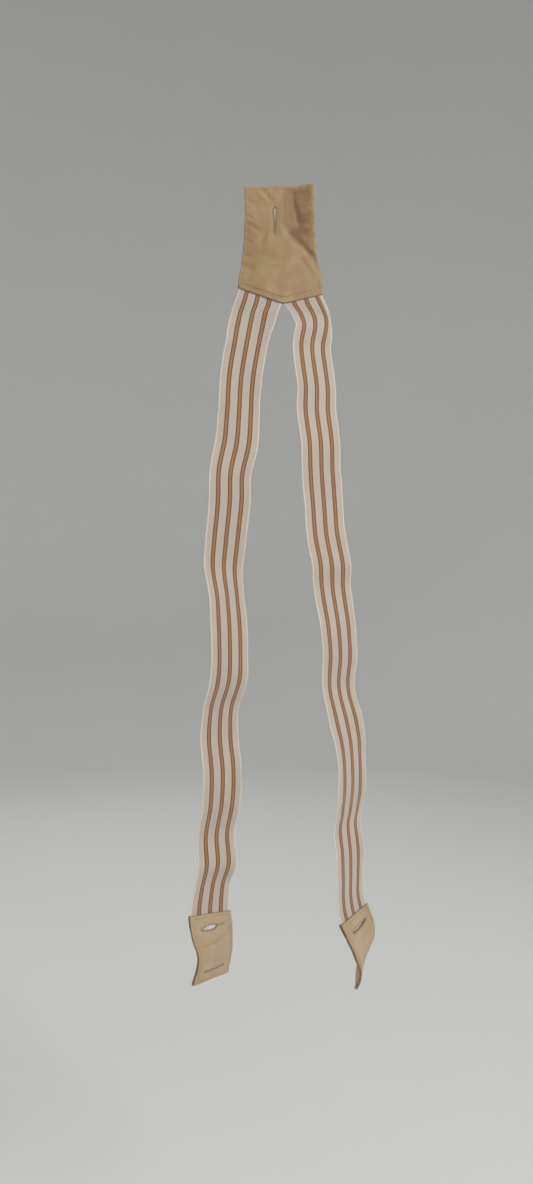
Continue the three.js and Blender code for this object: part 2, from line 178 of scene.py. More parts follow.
# ---------------------------------------------------------------- mesh helpers
def make_object(name, vertices, faces, material, uv=None, marks=None):
    """A closed mesh. uv has one pair per vertex; marks is {attribute: one value per vertex}."""
    mesh = bpy.data.meshes.new(name)
    mesh.from_pydata([tuple(v) for v in vertices], [], [tuple(f) for f in faces])
    if uv is not None:
        layer = mesh.uv_layers.new(name="flat")
        loops = np.zeros(len(mesh.loops), np.int32)
        mesh.loops.foreach_get("vertex_index", loops)
        layer.data.foreach_set("uv", np.asarray(uv, np.float32)[loops].ravel())
    for key, values in (marks or {}).items():
        attribute = mesh.attributes.new(key, "FLOAT", "POINT")
        attribute.data.foreach_set("value", np.asarray(values, np.float32))
    work = bmesh.new()
    work.from_mesh(mesh)
    bmesh.ops.recalc_face_normals(work, faces=work.faces)
    work.to_mesh(mesh)
    work.free()
    mesh.polygons.foreach_set("use_smooth", [True] * len(mesh.polygons))
    mesh.materials.append(material)
    piece = bpy.data.objects.new(name, mesh)
    bpy.context.scene.collection.objects.link(piece)
    return piece


def ticks(fixed, step):
    """Sorted values that hold all the fixed ones, no further apart than step."""
    fixed = sorted(set(round(float(v), 7) for v in fixed))
    values = [fixed[0]]
    for low, high in zip(fixed, fixed[1:]):
        count = max(1, math.ceil((high - low) / step - 1e-6))
        values.extend(low + (high - low) * (i + 1) / count for i in range(count))
    return np.array(values)


EDGE_STEPS = [0.0, 0.12 * MM, 0.35 * MM, 0.75 * MM, 1.3 * MM]


def with_edges(low, high, others, step):
    """Ticks from low to high, closer together near both ends."""
    near = [low + d for d in EDGE_STEPS] + [high - d for d in EDGE_STEPS]
    return ticks(near + list(others), step)


def cut_grid(rows, columns, cuts):
    """A grid slit open along parts of its rows. cuts holds (row value, first and last column value).
    Gives the row and column value of each vertex, its side of a cut (-1, 0 or 1) and the faces."""
    count = len(rows) * len(columns)
    row_of, column_of = (a.ravel() for a in np.meshgrid(rows, columns, indexing="ij"))
    before = np.arange(count).reshape(len(rows), len(columns))
    after = before.copy()
    side = np.zeros(count)
    extra = []
    for value, first, last in cuts:
        row = int(np.argmin(abs(rows - value)))
        for column in np.flatnonzero((columns > first + 1e-6) & (columns < last - 1e-6)):
            after[row, column] = count + len(extra)
            side[before[row, column]] = -1
            extra.append((rows[row], columns[column]))
    if extra:
        more = np.array(extra)
        row_of = np.concatenate([row_of, more[:, 0]])
        column_of = np.concatenate([column_of, more[:, 1]])
        side = np.concatenate([side, np.ones(len(extra))])
    corners = (after[:-1, :-1], after[:-1, 1:], before[1:, 1:], before[1:, :-1])
    faces = np.stack([c.ravel() for c in corners], -1)
    return row_of, column_of, side, faces


def shell(name, faces, outer, inner, material, flat, marks=None):
    """The closed solid between two skins that share one set of faces and of flat coordinates."""
    count = len(outer)
    edges = np.concatenate([faces[:, [i, (i + 1) % 4]] for i in range(4)])
    keys = edges[:, 0] * count + edges[:, 1]
    back = edges[:, 1] * count + edges[:, 0]
    border = edges[~np.isin(keys, back)]
    walls = np.stack([border[:, 1], border[:, 0], border[:, 0] + count, border[:, 1] + count], -1)
    everything = np.vstack([faces, faces[:, ::-1] + count, walls])
    vertices = np.vstack([outer, inner])
    uv = np.stack(flat, -1) / MM
    doubled = {key: np.concatenate([v, v]) for key, v in (marks or {}).items()}
    return make_object(name, vertices, everything, material, uv=np.vstack([uv, uv]), marks=doubled)


def tubes(name, paths, radius, material, sides=6):
    """Many short round threads in one mesh, each along its own path and closed at both ends."""
    vertices, faces = [], []
    for path in paths:
        path = np.asarray(path, float)
        along = unit(np.gradient(path, axis=0))
        guide = np.cross(along[0], along[-1])
        if np.linalg.norm(guide) < 1e-3:
            guide = np.cross(along[0], (0.3, 0.5, 0.8))
        first = unit(guide - along * (along @ guide)[:, None])
        second = np.cross(along, first)
        share = np.ones(len(path))
        share[[0, -1]] = 0.55
        base = len(vertices)
        for k in range(len(path)):
            for j in range(sides):
                a = 2 * math.pi * j / sides
                offset = first[k] * math.cos(a) + second[k] * math.sin(a)
                vertices.append(path[k] + offset * radius * share[k])
        for k in range(len(path) - 1):
            for j in range(sides):
                a, b = base + k * sides + j, base + k * sides + (j + 1) % sides
                faces.append((a, b, b + sides, a + sides))
        faces.append([base + j for j in range(sides)][::-1])
        faces.append([base + (len(path) - 1) * sides + j for j in range(sides)])
    return make_object(name, vertices, faces, material)


def stitches(line, surface, pitch, length, rise, sink):
    """Paths of running stitches along a flat line: surface(points, height) lifts them off it."""
    line = np.asarray(line, float)
    steps = np.linalg.norm(np.diff(line, axis=0), axis=1)
    run = np.concatenate([[0], np.cumsum(steps)])
    count = max(1, int(run[-1] / pitch))
    start = (run[-1] - count * pitch) / 2
    heights = np.array([-sink, 0.3 * rise, rise, rise, 0.3 * rise, -sink])
    paths = []
    for i in range(count):
        middle = start + (i + 0.5) * pitch
        at = middle + length * np.array([-0.5, -0.42, -0.18, 0.18, 0.42, 0.5])
        flat = np.stack([np.interp(at, run, line[:, k]) for k in range(2)], -1)
        paths.append(surface(flat, heights))
    return paths


def whipping(place, length):
    """Stitches over both edges of a slit. place(share along it, distance off it, side, face, height)."""
    count = int(length / WHIP_PITCH)
    front = [(r * WHIP_REACH, 1, h * MM) for r, h in ((1, -0.15), (0.8, 0.1), (0.35, 0.15), (0, 0.1))]
    front.append((-0.12 * MM, 0.5, 0.0))
    steps = front + [(d, -face, h) for d, face, h in reversed(front)]
    paths = []
    for i in range(count):
        t = (i + 0.5) / count
        for side in (-1, 1):
            wobble = 0.12 * MM * math.sin(12.9 * i + side)
            path = [place(t, side * (d + wobble * (d > 0)), side, face, h) for d, face, h in steps]
            paths.append(np.array(path).reshape(-1, 3))
    return paths


def bar_tack(place, reach):
    """A few threads side by side across the last end of a slit, on the front face."""
    offsets = np.linspace(-1, 1, 7) * reach
    heights = np.array([-0.15, 0.15, 0.22, 0.25, 0.22, 0.15, -0.15]) * MM
    paths = []
    for i in range(TACK_THREADS):
        t = 1 + (i - 1) * TACK_PITCH
        path = [place(t, d, 0, 1, h) for d, h in zip(offsets, heights)]
        paths.append(np.array(path).reshape(-1, 3))
    return paths


def rigid(piece, body, node):
    """Puts a piece on the body it rides on and hides the node it replaces."""
    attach(piece, body)
    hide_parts(node)


# ---------------------------------------------------------------- material helpers
class Look:
    """A node material with short names for the nodes that this script uses."""

    def __init__(self, name, roughness, specular, sheen=0.0, sheen_roughness=0.5):
        self.material = bpy.data.materials.new(name)
        self.material.use_nodes = True
        self.tree = self.material.node_tree
        self.shader = self.tree.nodes["Principled BSDF"]
        self.shader.inputs["Roughness"].default_value = roughness
        self.shader.inputs["Specular IOR Level"].default_value = specular
        self.shader.inputs["Sheen Weight"].default_value = sheen
        self.shader.inputs["Sheen Roughness"].default_value = sheen_roughness

    def new(self, kind, **settings):
        node = self.tree.nodes.new(kind)
        for key, value in settings.items():
            setattr(node, key, value)
        return node

    def feed(self, socket, value):
        if isinstance(value, bpy.types.NodeSocket):
            self.tree.links.new(value, socket)
        else:
            socket.default_value = value

    def math(self, operation, a, b=0.0, c=0.0):
        node = self.new("ShaderNodeMath", operation=operation)
        for socket, value in zip(node.inputs, (a, b, c)):
            self.feed(socket, value)
        return node.outputs[0]

    def ramp(self, value, low, high, to_low=0.0, to_high=1.0):
        node = self.new("ShaderNodeMapRange", interpolation_type="SMOOTHSTEP")
        for key, v in zip(("Value", "From Min", "From Max"), (value, low, high)):
            self.feed(node.inputs[key], v)
        self.feed(node.inputs["To Min"], to_low)
        self.feed(node.inputs["To Max"], to_high)
        return node.outputs["Result"]

    def mix(self, share, a, b, blend="MIX"):
        node = self.new("ShaderNodeMix", data_type="RGBA", blend_type=blend)
        self.feed(node.inputs["Factor"], share)
        self.feed(node.inputs["A"], a if isinstance(a, bpy.types.NodeSocket) else (*a, 1))
        self.feed(node.inputs["B"], b if isinstance(b, bpy.types.NodeSocket) else (*b, 1))
        return node.outputs["Result"]

    def place(self):
        return self.new("ShaderNodeTexCoord").outputs["Object"]

    def flat(self):
        """The piece's own flat coordinates, in millimetres: across, along."""
        parts = self.new("ShaderNodeSeparateXYZ")
        self.feed(parts.inputs[0], self.new("ShaderNodeUVMap", uv_map="flat").outputs[0])
        return parts.outputs[0], parts.outputs[1]

    def mark(self, name):
        return self.new("ShaderNodeAttribute", attribute_name=name).outputs["Fac"]

    def noise(self, scale, detail=3.0, roughness=0.55):
        node = self.new("ShaderNodeTexNoise")
        self.feed(node.inputs["Vector"], self.place())
        node.inputs["Scale"].default_value = scale
        node.inputs["Detail"].default_value = detail
        node.inputs["Roughness"].default_value = roughness
        return node.outputs["Fac"]

    def cells(self, scale):
        node = self.new("ShaderNodeTexVoronoi", feature="F1")
        self.feed(node.inputs["Vector"], self.place())
        node.inputs["Scale"].default_value = scale
        return node.outputs["Distance"]

    def bump(self, height, strength, distance, below=None):
        node = self.new("ShaderNodeBump")
        self.feed(node.inputs["Height"], height)
        node.inputs["Strength"].default_value = strength
        node.inputs["Distance"].default_value = distance
        if below is not None:
            self.feed(node.inputs["Normal"], below)
        return node.outputs[0]

    def finish(self, colour, roughness=None, normal=None):
        self.feed(self.shader.inputs["Base Color"], colour)
        if roughness is not None:
            self.feed(self.shader.inputs["Roughness"], roughness)
        if normal is not None:
            self.feed(self.shader.inputs["Normal"], normal)
        return self.material


def leather(name, light, mid, dark, edge):
    """Soft matt leather: patches of tone, a fine pebbled grain, painted shade where marked, and edges
    darkened partly by wear and partly by painted shade.
    """
    look = Look(name, 0.8, 0.25, sheen=0.15)
    patches = look.noise(55, 3.0)
    tone = look.mix(look.ramp(patches, 0.38, 0.66), mid, light)
    clouds = look.noise(18, 2.0)
    tone = look.mix(look.ramp(clouds, 0.48, 0.72, 0.0, 0.55), tone, dark)
    specks = look.noise(1500, 4.0, 0.7)
    tone = look.mix(look.ramp(specks, 0.5, 0.72, 0.0, 0.28), tone, dark)
    # Painted shade where the shade mark is set, broken up by noise.
    painted_shade = look.math("MULTIPLY", look.mark("shade"), look.ramp(look.noise(70, 3.0), 0.3, 0.6, 0.6, 1.0))
    tone = look.mix(painted_shade, tone, look.mix(1.0, tone, (0.62, 0.56, 0.5), "MULTIPLY"))
    # The edge mark darkens edges partly as wear and partly as painted shade, and slit lips as painted
    # shade.
    wear_and_shade = look.mark("edge")
    patchy_wear_and_shade = look.math("MULTIPLY", wear_and_shade, look.ramp(look.noise(420), 0.3, 0.6, 0.55, 1.0))
    tone = look.mix(patchy_wear_and_shade, tone, edge)
    grain = look.bump(look.cells(1500), 0.35, 0.25 * MM)
    soft = look.bump(look.noise(420, 4.0, 0.6), 0.45, 0.5 * MM, grain)
    nap = look.bump(look.noise(3200, 2.0, 0.6), 0.25, 0.15 * MM, soft)
    rough = look.ramp(look.noise(160), 0.3, 0.7, 0.7, 0.9)
    return look.finish(tone, rough, nap)


def webbing_look():
    """Off-white corded webbing with three tan twill stripes, drawn on its flat coordinates."""
    look = Look("webbing", 0.85, 0.2, sheen=0.3, sheen_roughness=0.6)
    across, along = look.flat()
    aside = look.math("ABSOLUTE", across)
    outer = look.math("ABSOLUTE", look.math("SUBTRACT", aside, STRIPE_PITCH / MM))
    to_stripe = look.math("MINIMUM", aside, outer)
    half = STRIPE_HALF / MM
    stripe = look.ramp(to_stripe, half - 0.12, half + 0.12, 1.0, 0.0)
    rim = look.math("MULTIPLY", look.ramp(to_stripe, half - 1.3, half - 0.8), stripe)

    def wave(value, pitch, phase=0.0):
        turn = look.math("MULTIPLY_ADD", value, 2 * math.pi / pitch, phase)
        return look.math("MULTIPLY_ADD", look.math("SINE", turn), 0.5, 0.5)

    slant = look.math("MULTIPLY_ADD", across, -1.7, along)
    twill = wave(slant, 2.9)
    cords = wave(across, CORD_PITCH / MM)
    picks = wave(along, 0.62)
    fuzz = look.noise(1400, 3.0, 0.65)
    cloud = look.noise(30, 2.0)
    white = look.mix(look.ramp(cords, 0.2, 0.9), (0.43, 0.365, 0.315), (0.65, 0.57, 0.51))
    white = look.mix(look.ramp(fuzz, 0.35, 0.7, 0.0, 0.35), white, (0.43, 0.35, 0.29))
    white = look.mix(look.ramp(cloud, 0.4, 0.7, 0.0, 0.3), white, (0.50, 0.41, 0.33))
    selvedge = look.ramp(aside, WEB_WIDTH / MM / 2 - 1.4, WEB_WIDTH / MM / 2 - 0.9)
    white = look.mix(selvedge, white, (0.70, 0.63, 0.57))
    tan = look.mix(look.ramp(twill, 0.25, 0.75), (0.21, 0.10, 0.045), (0.50, 0.28, 0.13))
    tan = look.mix(look.ramp(fuzz, 0.35, 0.7, 0.0, 0.4), tan, (0.25, 0.125, 0.065))
    tan = look.mix(look.math("MULTIPLY", rim, 0.9), tan, (0.14, 0.06, 0.03))
    colour = look.mix(stripe, white, tan)
    plain = look.math("MULTIPLY", cords, picks)
    height = look.math(
        "ADD",
        look.math("MULTIPLY", twill, stripe),
        look.math("MULTIPLY", plain, look.math("SUBTRACT", 1.0, stripe)),
    )
    weave = look.bump(height, 0.6, 0.25 * MM)
    weave = look.bump(fuzz, 0.25, 0.2 * MM, weave)
    return look.finish(colour, look.ramp(fuzz, 0.3, 0.7, 0.78, 0.95), weave)


def thread_look(name, colour, shade):
    """Sewing thread: twisted strands with a slight satin."""
    look = Look(name, 0.6, 0.4, sheen=0.2)
    strands = look.noise(2600, 2.0)
    tone = look.mix(look.ramp(strands, 0.35, 0.65), shade, colour)
    return look.finish(tone, 0.6, look.bump(strands, 0.4, 0.1 * MM))


def canvas_look():
    look = Look("canvas", 0.9, 0.2)
    across, along = look.flat()
    warp = look.math("SINE", look.math("MULTIPLY", across, 9.0))
    weft = look.math("SINE", look.math("MULTIPLY", along, 9.0))
    weave = look.math("MULTIPLY", warp, weft)
    tone = look.mix(look.ramp(weave, -0.6, 0.6), (0.5, 0.43, 0.32), (0.66, 0.6, 0.48))
    return look.finish(tone, 0.9, look.bump(weave, 0.5, 0.2 * MM))


yoke_leather = leather(
    "yoke_leather", (0.43, 0.30, 0.16), (0.37, 0.25, 0.135), (0.27, 0.17, 0.085), (0.22, 0.14, 0.07)
)
tab_leather = leather(
    "tab_leather", (0.49, 0.375, 0.25), (0.445, 0.335, 0.215), (0.37, 0.265, 0.155), (0.29, 0.19, 0.105)
)
webbing = webbing_look()
seam_thread = thread_look("seam_thread", (0.40, 0.28, 0.17), (0.30, 0.20, 0.11))
hole_thread = thread_look("buttonhole_thread", (0.40, 0.28, 0.155), (0.28, 0.185, 0.095))
tab_hole_thread = thread_look("tab_buttonhole_thread", (0.50, 0.385, 0.26), (0.40, 0.29, 0.175))
canvas = canvas_look()


# ---------------------------------------------------------------- webbing
SELVEDGE = 0.5 * MM
CALM_TOP = 30 * MM  # the ripples fade towards the yoke from here, and towards the tab here
CALM_BOTTOM = (-25 * MM, -4 * MM)
WEB_ROW_STEP = 2 * MM
EDGE_COLUMN = 0.15 * MM  # width of the outermost column of faces
RIPPLES = ((0.55 * MM, 9.1 * MM), (0.22 * MM, 4.3 * MM))  # height and length of the slow and quick ones


def web_thickness(u, half_width):
    """Half the webbing's thickness at u: cords along its length and round selvedges."""
    cords = 0.07 * MM * np.abs(np.sin(math.pi * u / CORD_PITCH))
    to_stripe = np.minimum(abs(u), abs(abs(u) - STRIPE_PITCH))
    raised = 0.05 * MM * (1 - smoothstep(0.8, 1.0, to_stripe / STRIPE_HALF))
    over = np.clip((abs(u) - (half_width - SELVEDGE)) / SELVEDGE, 0, 1)
    return (WEB_HALF - 0.1 * MM + cords + raised) * np.sqrt(1 - over**2 * 0.98)


def web_flutter(u, s, phase):
    """The slight ripple of relaxed webbing, strongest at its edges."""
    side = np.abs(u) / (WEB_WIDTH / 2)
    (slow_height, slow_run), (quick_height, quick_run) = RIPPLES
    slow = slow_height * np.sin(s / slow_run + phase + 1.4 * np.sign(u))
    quick = quick_height * np.sin(s / quick_run + 2.1 * phase - 0.8 * np.sign(u))
    return side**2 * (slow + quick)


def web_spread(side, flat, s):
    """Where the webbing's width lies near the yoke, and how far it stands out there."""
    outward = smoothstep(STRIPE_PITCH, WEB_WIDTH / 2, flat)
    if side == "left":
        return flat + WEB_FLARE * outward * (1 - smoothstep(0, WEB_FLARE_LENGTH, s)), 0 * s
    near = 1 - smoothstep(*WEB_CURL_ENDS, s)
    below = smoothstep(-CURL_FADE, 0, s)
    return flat - WEB_CURL[0] * outward * near, -WEB_CURL[1] * outward * near * below


def web_top_place(top, share, s, n):
    """A point above the fold: share is 0 at the left edge and 1 at the right one."""
    table = through(top, 8)[::-1] * MM
    z = FOLD_Z - s
    left, right = (np.interp(z, table[:, 0], table[:, k]) for k in (1, 2))
    x = left + share * (right - left)
    between = yoke_folds(x, z) * smoothstep(-93 * MM, -86 * MM, z)
    return np.stack([x, -between - n, z], -1)


def web_piece(name, side, route, start, end, phase):
    """A length of one strap from start to end, both measured along it from the fold."""
    rows = ticks([start, min(max(start, 0), end), end], WEB_ROW_STEP)
    w = WEB_WIDTH / 2
    columns = ticks([-w, -w + EDGE_COLUMN, w - EDGE_COLUMN, w], CORD_PITCH / 2)
    s, flat = np.meshgrid(rows, columns, indexing="ij")
    u, curl = web_spread(side, flat, s)
    thick = web_thickness(flat, w)
    calm = smoothstep(0, CALM_TOP, s) * (1 - smoothstep(*CALM_BOTTOM, s - route.mouth))
    lift = web_flutter(flat, s, phase) * calm + curl
    share = (u - u[:, :1]) / (u[:, -1:] - u[:, :1])
    skins = []
    for n in (lift + thick, lift - thick):
        above, hanging = web_top_place(WEB_TOPS[side], share, s, n), route.place(u, s, n)
        skins.append(np.where((s < 0)[..., None], above, hanging).reshape(-1, 3))
    front, back = skins
    index = np.arange(front.shape[0]).reshape(s.shape)
    below = index + front.shape[0]
    skin = lambda t: np.stack([t[:-1, :-1], t[:-1, 1:], t[1:, 1:], t[1:, :-1]], -1).reshape(-1, 4)
    strip = lambda a, b: np.stack([a[:-1], a[1:], b[1:], b[:-1]], -1)
    sides = strip(index[:, 0], below[:, 0]), strip(below[:, -1], index[:, -1])
    tips = strip(below[0], index[0]), strip(index[-1], below[-1])
    faces = np.vstack([skin(index), skin(below)[:, ::-1], *sides, *tips])
    uv = np.stack([flat.ravel(), s.ravel()], -1) / MM
    piece = make_object(name, np.vstack([front, back]), faces, webbing, uv=np.vstack([uv, uv]))
    mesh = piece.data
    ends = set(index[0]) | set(below[0]) | set(index[-1]) | set(below[-1])
    sharp = [e.vertices[0] in ends and e.vertices[1] in ends for e in mesh.edges]
    attribute = mesh.attributes.new("sharp_edge", "BOOLEAN", "EDGE")
    attribute.data.foreach_set("value", sharp)
    return piece


def point(route, s, ahead=0.0):
    """The strap's middle at s, moved ahead along its direction there."""
    origin, _, _, down = route.frames(np.array([s]))
    return tuple(origin[0] + down[0] * ahead)


YOKE_ENTRY = -25 * MM  # the webbing starts this far above the fold, between the yoke's plies
FOLD_Z = -96 * MM
# The webbing above its fold, where it spreads under the yoke: z, then its left and right edge.
WEB_TOPS = {
    "left": [
        (-71, -29, 5.4), (-75, -32.6, 5.8), (-80, -34.6, 6.2),
        (-86, -36.8, 6.2), (-91, -38.7, 5.2), (-96, -40.2, 2.8),
    ],
    "right": [
        (-71, 8.4, 36), (-77, 8.2, 40), (-82, 8, 43.2),
        (-87, 8.2, 45.8), (-91, 9.8, 48), (-96, 13.8, 49.8),
    ],
}
END_LENGTH = 100 * MM  # each strap's first and last length are pieces of their own
BEND_ZONE = 25 * MM
MOUTH_ZONE = (-3 * MM, 1.2 * MM)
TAB_GRIP = 7 * MM  # webbing between the tab's plies


def add_webbing(side, route, phase):
    first = END_LENGTH
    second = route.mouth - END_LENGTH
    upper = web_piece(f"{side}_webbing_top", side, route, YOKE_ENTRY, first, phase)
    middle = web_piece(f"{side}_webbing_middle", side, route, first, second, phase)
    lower = web_piece(f"{side}_webbing_bottom", side, route, second, route.mouth + TAB_GRIP, phase)
    fold = Vector(point(route, 0))
    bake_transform(upper)
    start, end = (point(route, route.bend, d) for d in (-BEND_ZONE, BEND_ZONE))
    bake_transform(middle)
    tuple(start)
    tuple(end)
    start, end = (point(route, route.mouth, d) for d in MOUTH_ZONE)
    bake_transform(lower)
    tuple(start)
    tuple(end)
    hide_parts(f"{side}_webbing_sewn_top", f"{side}_webbing_upper")
    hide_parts(f"{side}_webbing_lower")
    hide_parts(f"{side}_webbing_sewn_bottom")


# ---------------------------------------------------------------- yoke
# The outline as it hangs: each side from top to bottom, as (x, z) in millimetres.
YOKE_LEFT = [(-28, 17.8), (-27.4, -7.3), (-28.7, -30.2), (-30.4, -47.6), (-33.6, -69), (-34.5, -74.2)]
YOKE_RIGHT = [(35.2, 19.4), (35.7, -7.3), (37, -30.2), (39.6, -51.2), (42.5, -66), (43.8, -80.4)]
YOKE_TIP = (7.6, -89.2)
left_side = through(np.array(YOKE_LEFT) * MM, 12)
right_side = through(np.array(YOKE_RIGHT) * MM, 12)
top_left, low_left = left_side[0], left_side[-1]
top_right, low_right = right_side[0], right_side[-1]
tip = np.array(YOKE_TIP) * MM
slit_share = (0 - top_left[0]) / (top_right[0] - top_left[0])
tip_share = (tip[0] - low_left[0]) / (low_right[0] - low_left[0])
YOKE_RUN = 106 * MM  # flat height of the yoke's middle
YOKE_GAPE = 1.7 * MM  # half the width of the slit's upper end, which the hook draws open
TIP_REACH = 4 * MM  # the tip is rounded off this far to each side
TIP_RISE = 0.6 * MM
BOTTOM_SLOPE = 0.97  # cosine of the lower edge's slope
TURN_RADIUS = 1.1 * MM  # of the leather round its turned edge
HEM = (2.3 * MM, 2.9 * MM)  # where the turned-in hem of the lower edge ends


def edge_wobble(z):
    """The slight unevenness of a turned and stitched edge."""
    return 0.28 * MM * np.sin(z / (2.4 * MM) + 1.5 * np.sin(z / (6.5 * MM)))


def edge_left(z):
    return np.interp(-z, -left_side[:, 1], left_side[:, 0]) + edge_wobble(z)


def edge_right(z):
    return np.interp(-z, -right_side[:, 1], right_side[:, 0]) - edge_wobble(z - 9 * MM)


def edge_top(x):
    droop = 0.5 * MM * np.sin((x - top_left[0]) / (top_right[0] - top_left[0]) * math.pi)
    return np.interp(x, [top_left[0], top_right[0]], [top_left[1], top_right[1]]) + droop


def edge_bottom(x):
    xs = [low_left[0], tip[0] - TIP_REACH, tip[0], tip[0] + TIP_REACH, low_right[0]]
    slope_left = (low_left[1] - tip[1]) / (tip[0] - low_left[0])
    slope_right = (low_right[1] - tip[1]) / (low_right[0] - tip[0])
    zs = [low_left[1], tip[1] + TIP_REACH * slope_left, tip[1] + TIP_RISE]
    zs += [tip[1] + TIP_REACH * slope_right, low_right[1]]
    return np.interp(x, xs, zs)


def from_sides(x, z):
    """Distance in from the nearer side."""
    return np.minimum(x - edge_left(z), edge_right(z) - x)


def from_bottom(x, z):
    return (z - edge_bottom(x)) * BOTTOM_SLOPE


def yoke_flat(share, q):
    """Across share 0 to 1 and q metres down the middle, to x and z in the hanging yoke."""
    fall = q / YOKE_RUN
    top_z = edge_top(top_left[0] + share * (top_right[0] - top_left[0]))
    bottom_x = low_left[0] + share * (low_right[0] - low_left[0])
    z = top_z + fall * (edge_bottom(bottom_x) - top_z)
    width = edge_right(z) - edge_left(z)
    x = edge_left(z) + share * width
    # The rows beside the slit run straight down at x = 0 until well below it.
    aside = edge_left(z) + slit_share * width
    near = np.exp(-(((share - slit_share) * width / (12 * MM)) ** 2))
    return x - aside * near * smoothstep(-42 * MM, -28 * MM, z), z


def crease(x, z, start, end, width, height):
    """A soft ridge along a line, or a valley with a height below 0. All in millimetres."""
    start, end = np.array(start) * MM, np.array(end) * MM
    d = end - start
    length = np.linalg.norm(d)
    t = ((x - start[0]) * d[0] + (z - start[1]) * d[1]) / length**2
    off = ((x - start[0]) * d[1] - (z - start[1]) * d[0]) / length
    along = smoothstep(-0.2, 0.25, t) * (1 - smoothstep(0.7, 1.2, t))
    return height * MM * np.exp(-((off / (width * MM)) ** 2)) * along


YOKE_CREASES = [
    # start, end, width, height
    ((15.5, 15), (17.5, -2), 2.2, -1.5),
    ((17.5, 0), (22, -20), 2.6, -1.5),
    ((10.5, 12), (11.5, -14), 3.0, 0.9),
    ((6, -14), (14, -26), 3.0, -0.9),
    ((11, -22), (23, -38), 3.4, -1.5),
    ((22, -34), (33, -43), 2.6, -1.6),
    ((15, -24), (31, -34), 3.2, 1.0),
    ((20, -14), (36, -19), 2.4, -1.0),
    ((22, -6), (36, -8), 2.8, 0.6),
    ((27, -40), (41, -54), 2.0, -0.9),
    ((30, -37), (40, -46), 2.2, 0.8),
    ((21, -45), (36, -66), 3.0, -0.7),
    ((26, -46), (40, -64), 2.6, 0.6),
    ((27, 14), (28, 2), 4.0, -0.9),
    ((-12, 16), (-2.5, 4), 2.4, -1.3),
    ((-16, 14), (-8, 4), 2.6, 0.6),
    ((-27, 5), (-16, 1), 2.0, -0.8),
    ((-28, -8), (-18, -13), 1.8, -0.9),
    ((-27, -15), (-13, -23), 2.2, -1.3),
    ((-28, -20), (-16, -26), 2.6, 0.8),
    ((-29, -31), (-20, -34), 1.8, -0.8),
    ((-30, -44), (-21, -46), 2.0, -0.7),
    ((-8, -22), (-14, -35), 2.2, -0.9),
    ((-4, -24), (-9, -42), 2.6, 0.6),
    ((-31, -54), (-19, -58), 2.8, -0.8),
    ((-10, -62), (20, -66), 6.0, 0.5),
    ((2, -30), (3, -50), 5.0, 0.6),
]


# Painted shade darkens the leather to the right of this line of (x, z), in millimetres.
PAINTED_SHADE_BORDER = [(44, -56), (27, -41), (14, -24), (9, 0), (7, 20)]


def yoke_folds(x, z):
    """How far the whole yoke stands out of its plane: drawn back at the hook and creased."""
    hold = smoothstep(-70 * MM, 5 * MM, z)
    cup = 2.2 * MM * np.clip(abs(x - 3 * MM) / (33 * MM), 0, 1.2) ** 1.6 * hold
    total = cup - 0.8 * MM * hold
    total = total + 3 * MM * smoothstep(17 * MM, 38 * MM, x) * smoothstep(-48 * MM, -8 * MM, z)
    for start, end, width, height in YOKE_CREASES:
        total = total + crease(x, z, start, end, width, height)
    wander = 0.35 * MM * np.sin(x / (8.3 * MM) + 1.1 * np.sin(z / (13 * MM)))
    return total + wander * smoothstep(-85 * MM, -55 * MM, z)


def yoke_rim(x, z):
    """Distance in from the nearest edge of the outline."""
    down = np.minimum(edge_top(x) - z, from_bottom(x, z))
    return np.clip(np.minimum(from_sides(x, z), down), 0, None)


def web_room(x, z):
    """Half the space that the webbing takes between the plies."""
    above = 1 - smoothstep(15 * MM, 22 * MM, from_bottom(x, z))
    return WEB_HALF * above * smoothstep(0.5 * MM, 4 * MM, from_sides(x, z))


def slit_distance(x, z):
    past = np.clip(-z - YOKE_SLIT_LENGTH, 0, None) + np.clip(z, 0, None)
    return np.hypot(x, past)


def yoke_puckers(x, z):
    """Small dents between the stitches along the seam."""
    rim = yoke_rim(x, z)
    run = np.where(abs(x - 4 * MM) > 26 * MM, z, x)
    beat = np.sin(run / (0.9 * MM)) * 0.1 + np.sin(run / (2.3 * MM) + 2 * np.sin(run / (7 * MM))) * 0.22
    return beat * MM * np.exp(-(((rim - 1.8 * MM) / (2.6 * MM)) ** 2))


def yoke_point(x, z, side, face, height):
    """A point on the yoke. face is 1 for the front skin, -1 for the back one and 0 between them."""
    x, z, side = np.broadcast_arrays(*(np.asarray(a, float) for a in (x, z, side)))
    rim = yoke_rim(x, z)
    inner = smoothstep(3.2 * MM, 7 * MM, rim) * smoothstep(1.5 * MM, 5 * MM, slit_distance(x, z))
    turned = np.sqrt(1 - (1 - np.clip(rim / TURN_RADIUS, 0, 1)) ** 2)
    seam = 0.2 * MM * np.exp(-(((rim - SEAM_INSET) / (0.7 * MM)) ** 2))
    hem = 0.35 * MM * (1 - smoothstep(*HEM, from_bottom(x, z)))
    skin = 0.12 * MM + web_room(x, z) + (YOKE_EDGE_HALF + hem - 0.12 * MM) * turned
    skin = skin - seam + YOKE_LOFT * inner
    lip = 0.25 * MM * np.exp(-((slit_distance(x, z) / (1.6 * MM)) ** 2))
    share = np.clip(-z / YOKE_SLIT_LENGTH, 0, 1)
    gape = YOKE_GAPE * smoothstep(-0.02, 0.1, share) * np.clip(1 - share / 0.7, 0, 1) ** 0.8
    sense = np.where(side == 0, np.sign(x), side)
    moved = x + sense * gape * np.exp(-abs(x) / (5 * MM))
    n = yoke_folds(x, z) + yoke_puckers(x, z) + face * (skin - lip + height)
    return np.stack([moved, -n, z], -1)


